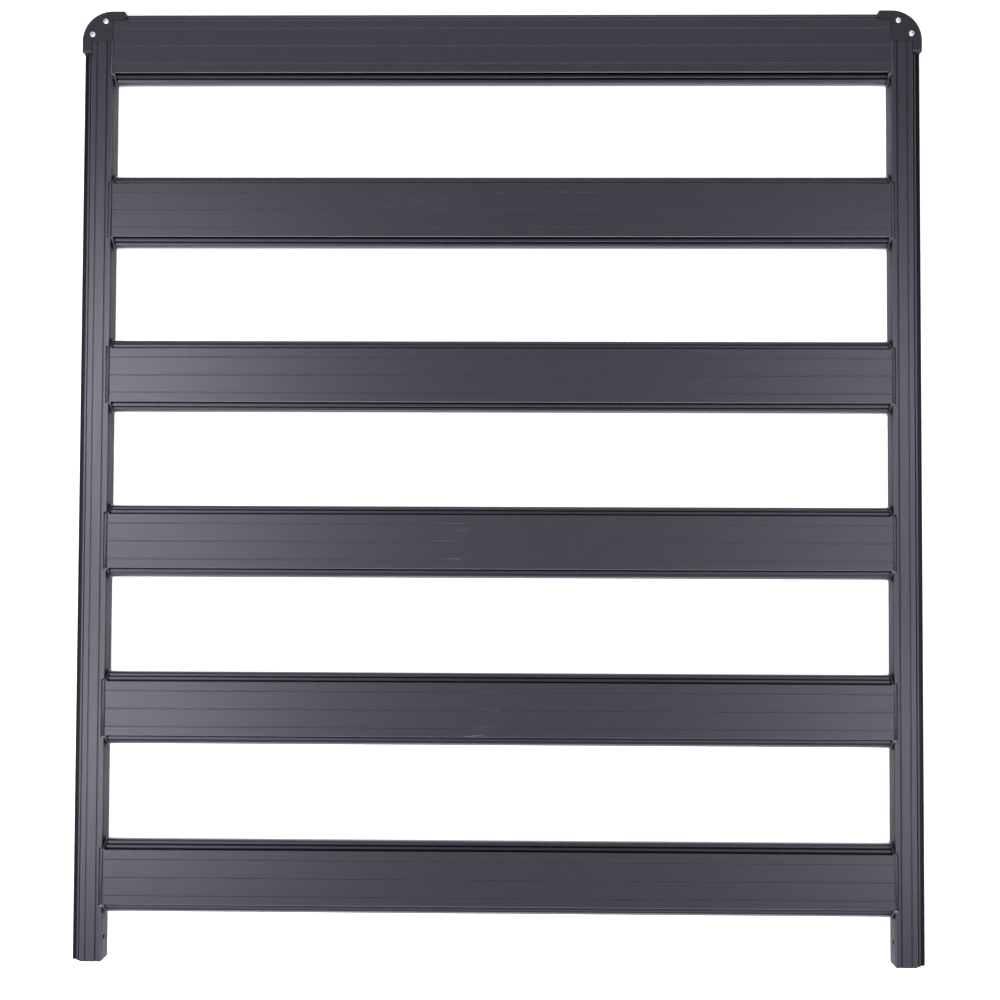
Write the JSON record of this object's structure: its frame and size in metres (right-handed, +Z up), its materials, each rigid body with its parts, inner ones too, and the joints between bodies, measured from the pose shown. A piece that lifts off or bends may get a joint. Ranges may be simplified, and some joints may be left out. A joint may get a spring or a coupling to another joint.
{
  "type": "flat platform roof rack",
  "caption": "Flat platform roof rack: two side rails, welded cross slats with side channels, and rounded front corner caps.",
  "frame": {"origin": "centre of the bounding box at its base, midway between the rails' undersides", "axes": "+Z up, +Y towards the capped front end, X across the rack"},
  "size_m": [1.24, 1.395, 0.0439],
  "materials": {
    "rail_coat": "satin black powder coat",
    "slat_coat": "satin black powder coat",
    "weld_coat": "weld beads under satin black powder coat",
    "cap_plastic": "fine-grained black moulding",
    "screw_steel": "bright domed heads"
  },
  "bodies": {
    "root": {"side_rail_left": "rail_coat", "side_rail_right": "rail_coat", "slat_1": "slat_coat", "slat_2": "slat_coat", "slat_3": "slat_coat", "slat_4": "slat_coat", "slat_5": "slat_coat", "slat_6": "slat_coat", "weld_1_left": "weld_coat", "weld_2_left": "weld_coat", "weld_3_left": "weld_coat", "weld_4_left": "weld_coat", "weld_5_left": "weld_coat", "weld_6_left": "weld_coat", "weld_1_right": "weld_coat", "weld_2_right": "weld_coat", "weld_3_right": "weld_coat", "weld_4_right": "weld_coat", "weld_5_right": "weld_coat", "weld_6_right": "weld_coat", "corner_cap_left": "cap_plastic", "corner_cap_right": "cap_plastic", "cap_screw_left_front": "screw_steel", "cap_screw_left_side": "screw_steel", "cap_screw_right_front": "screw_steel", "cap_screw_right_side": "screw_steel"}
  },
  "joints": []
}
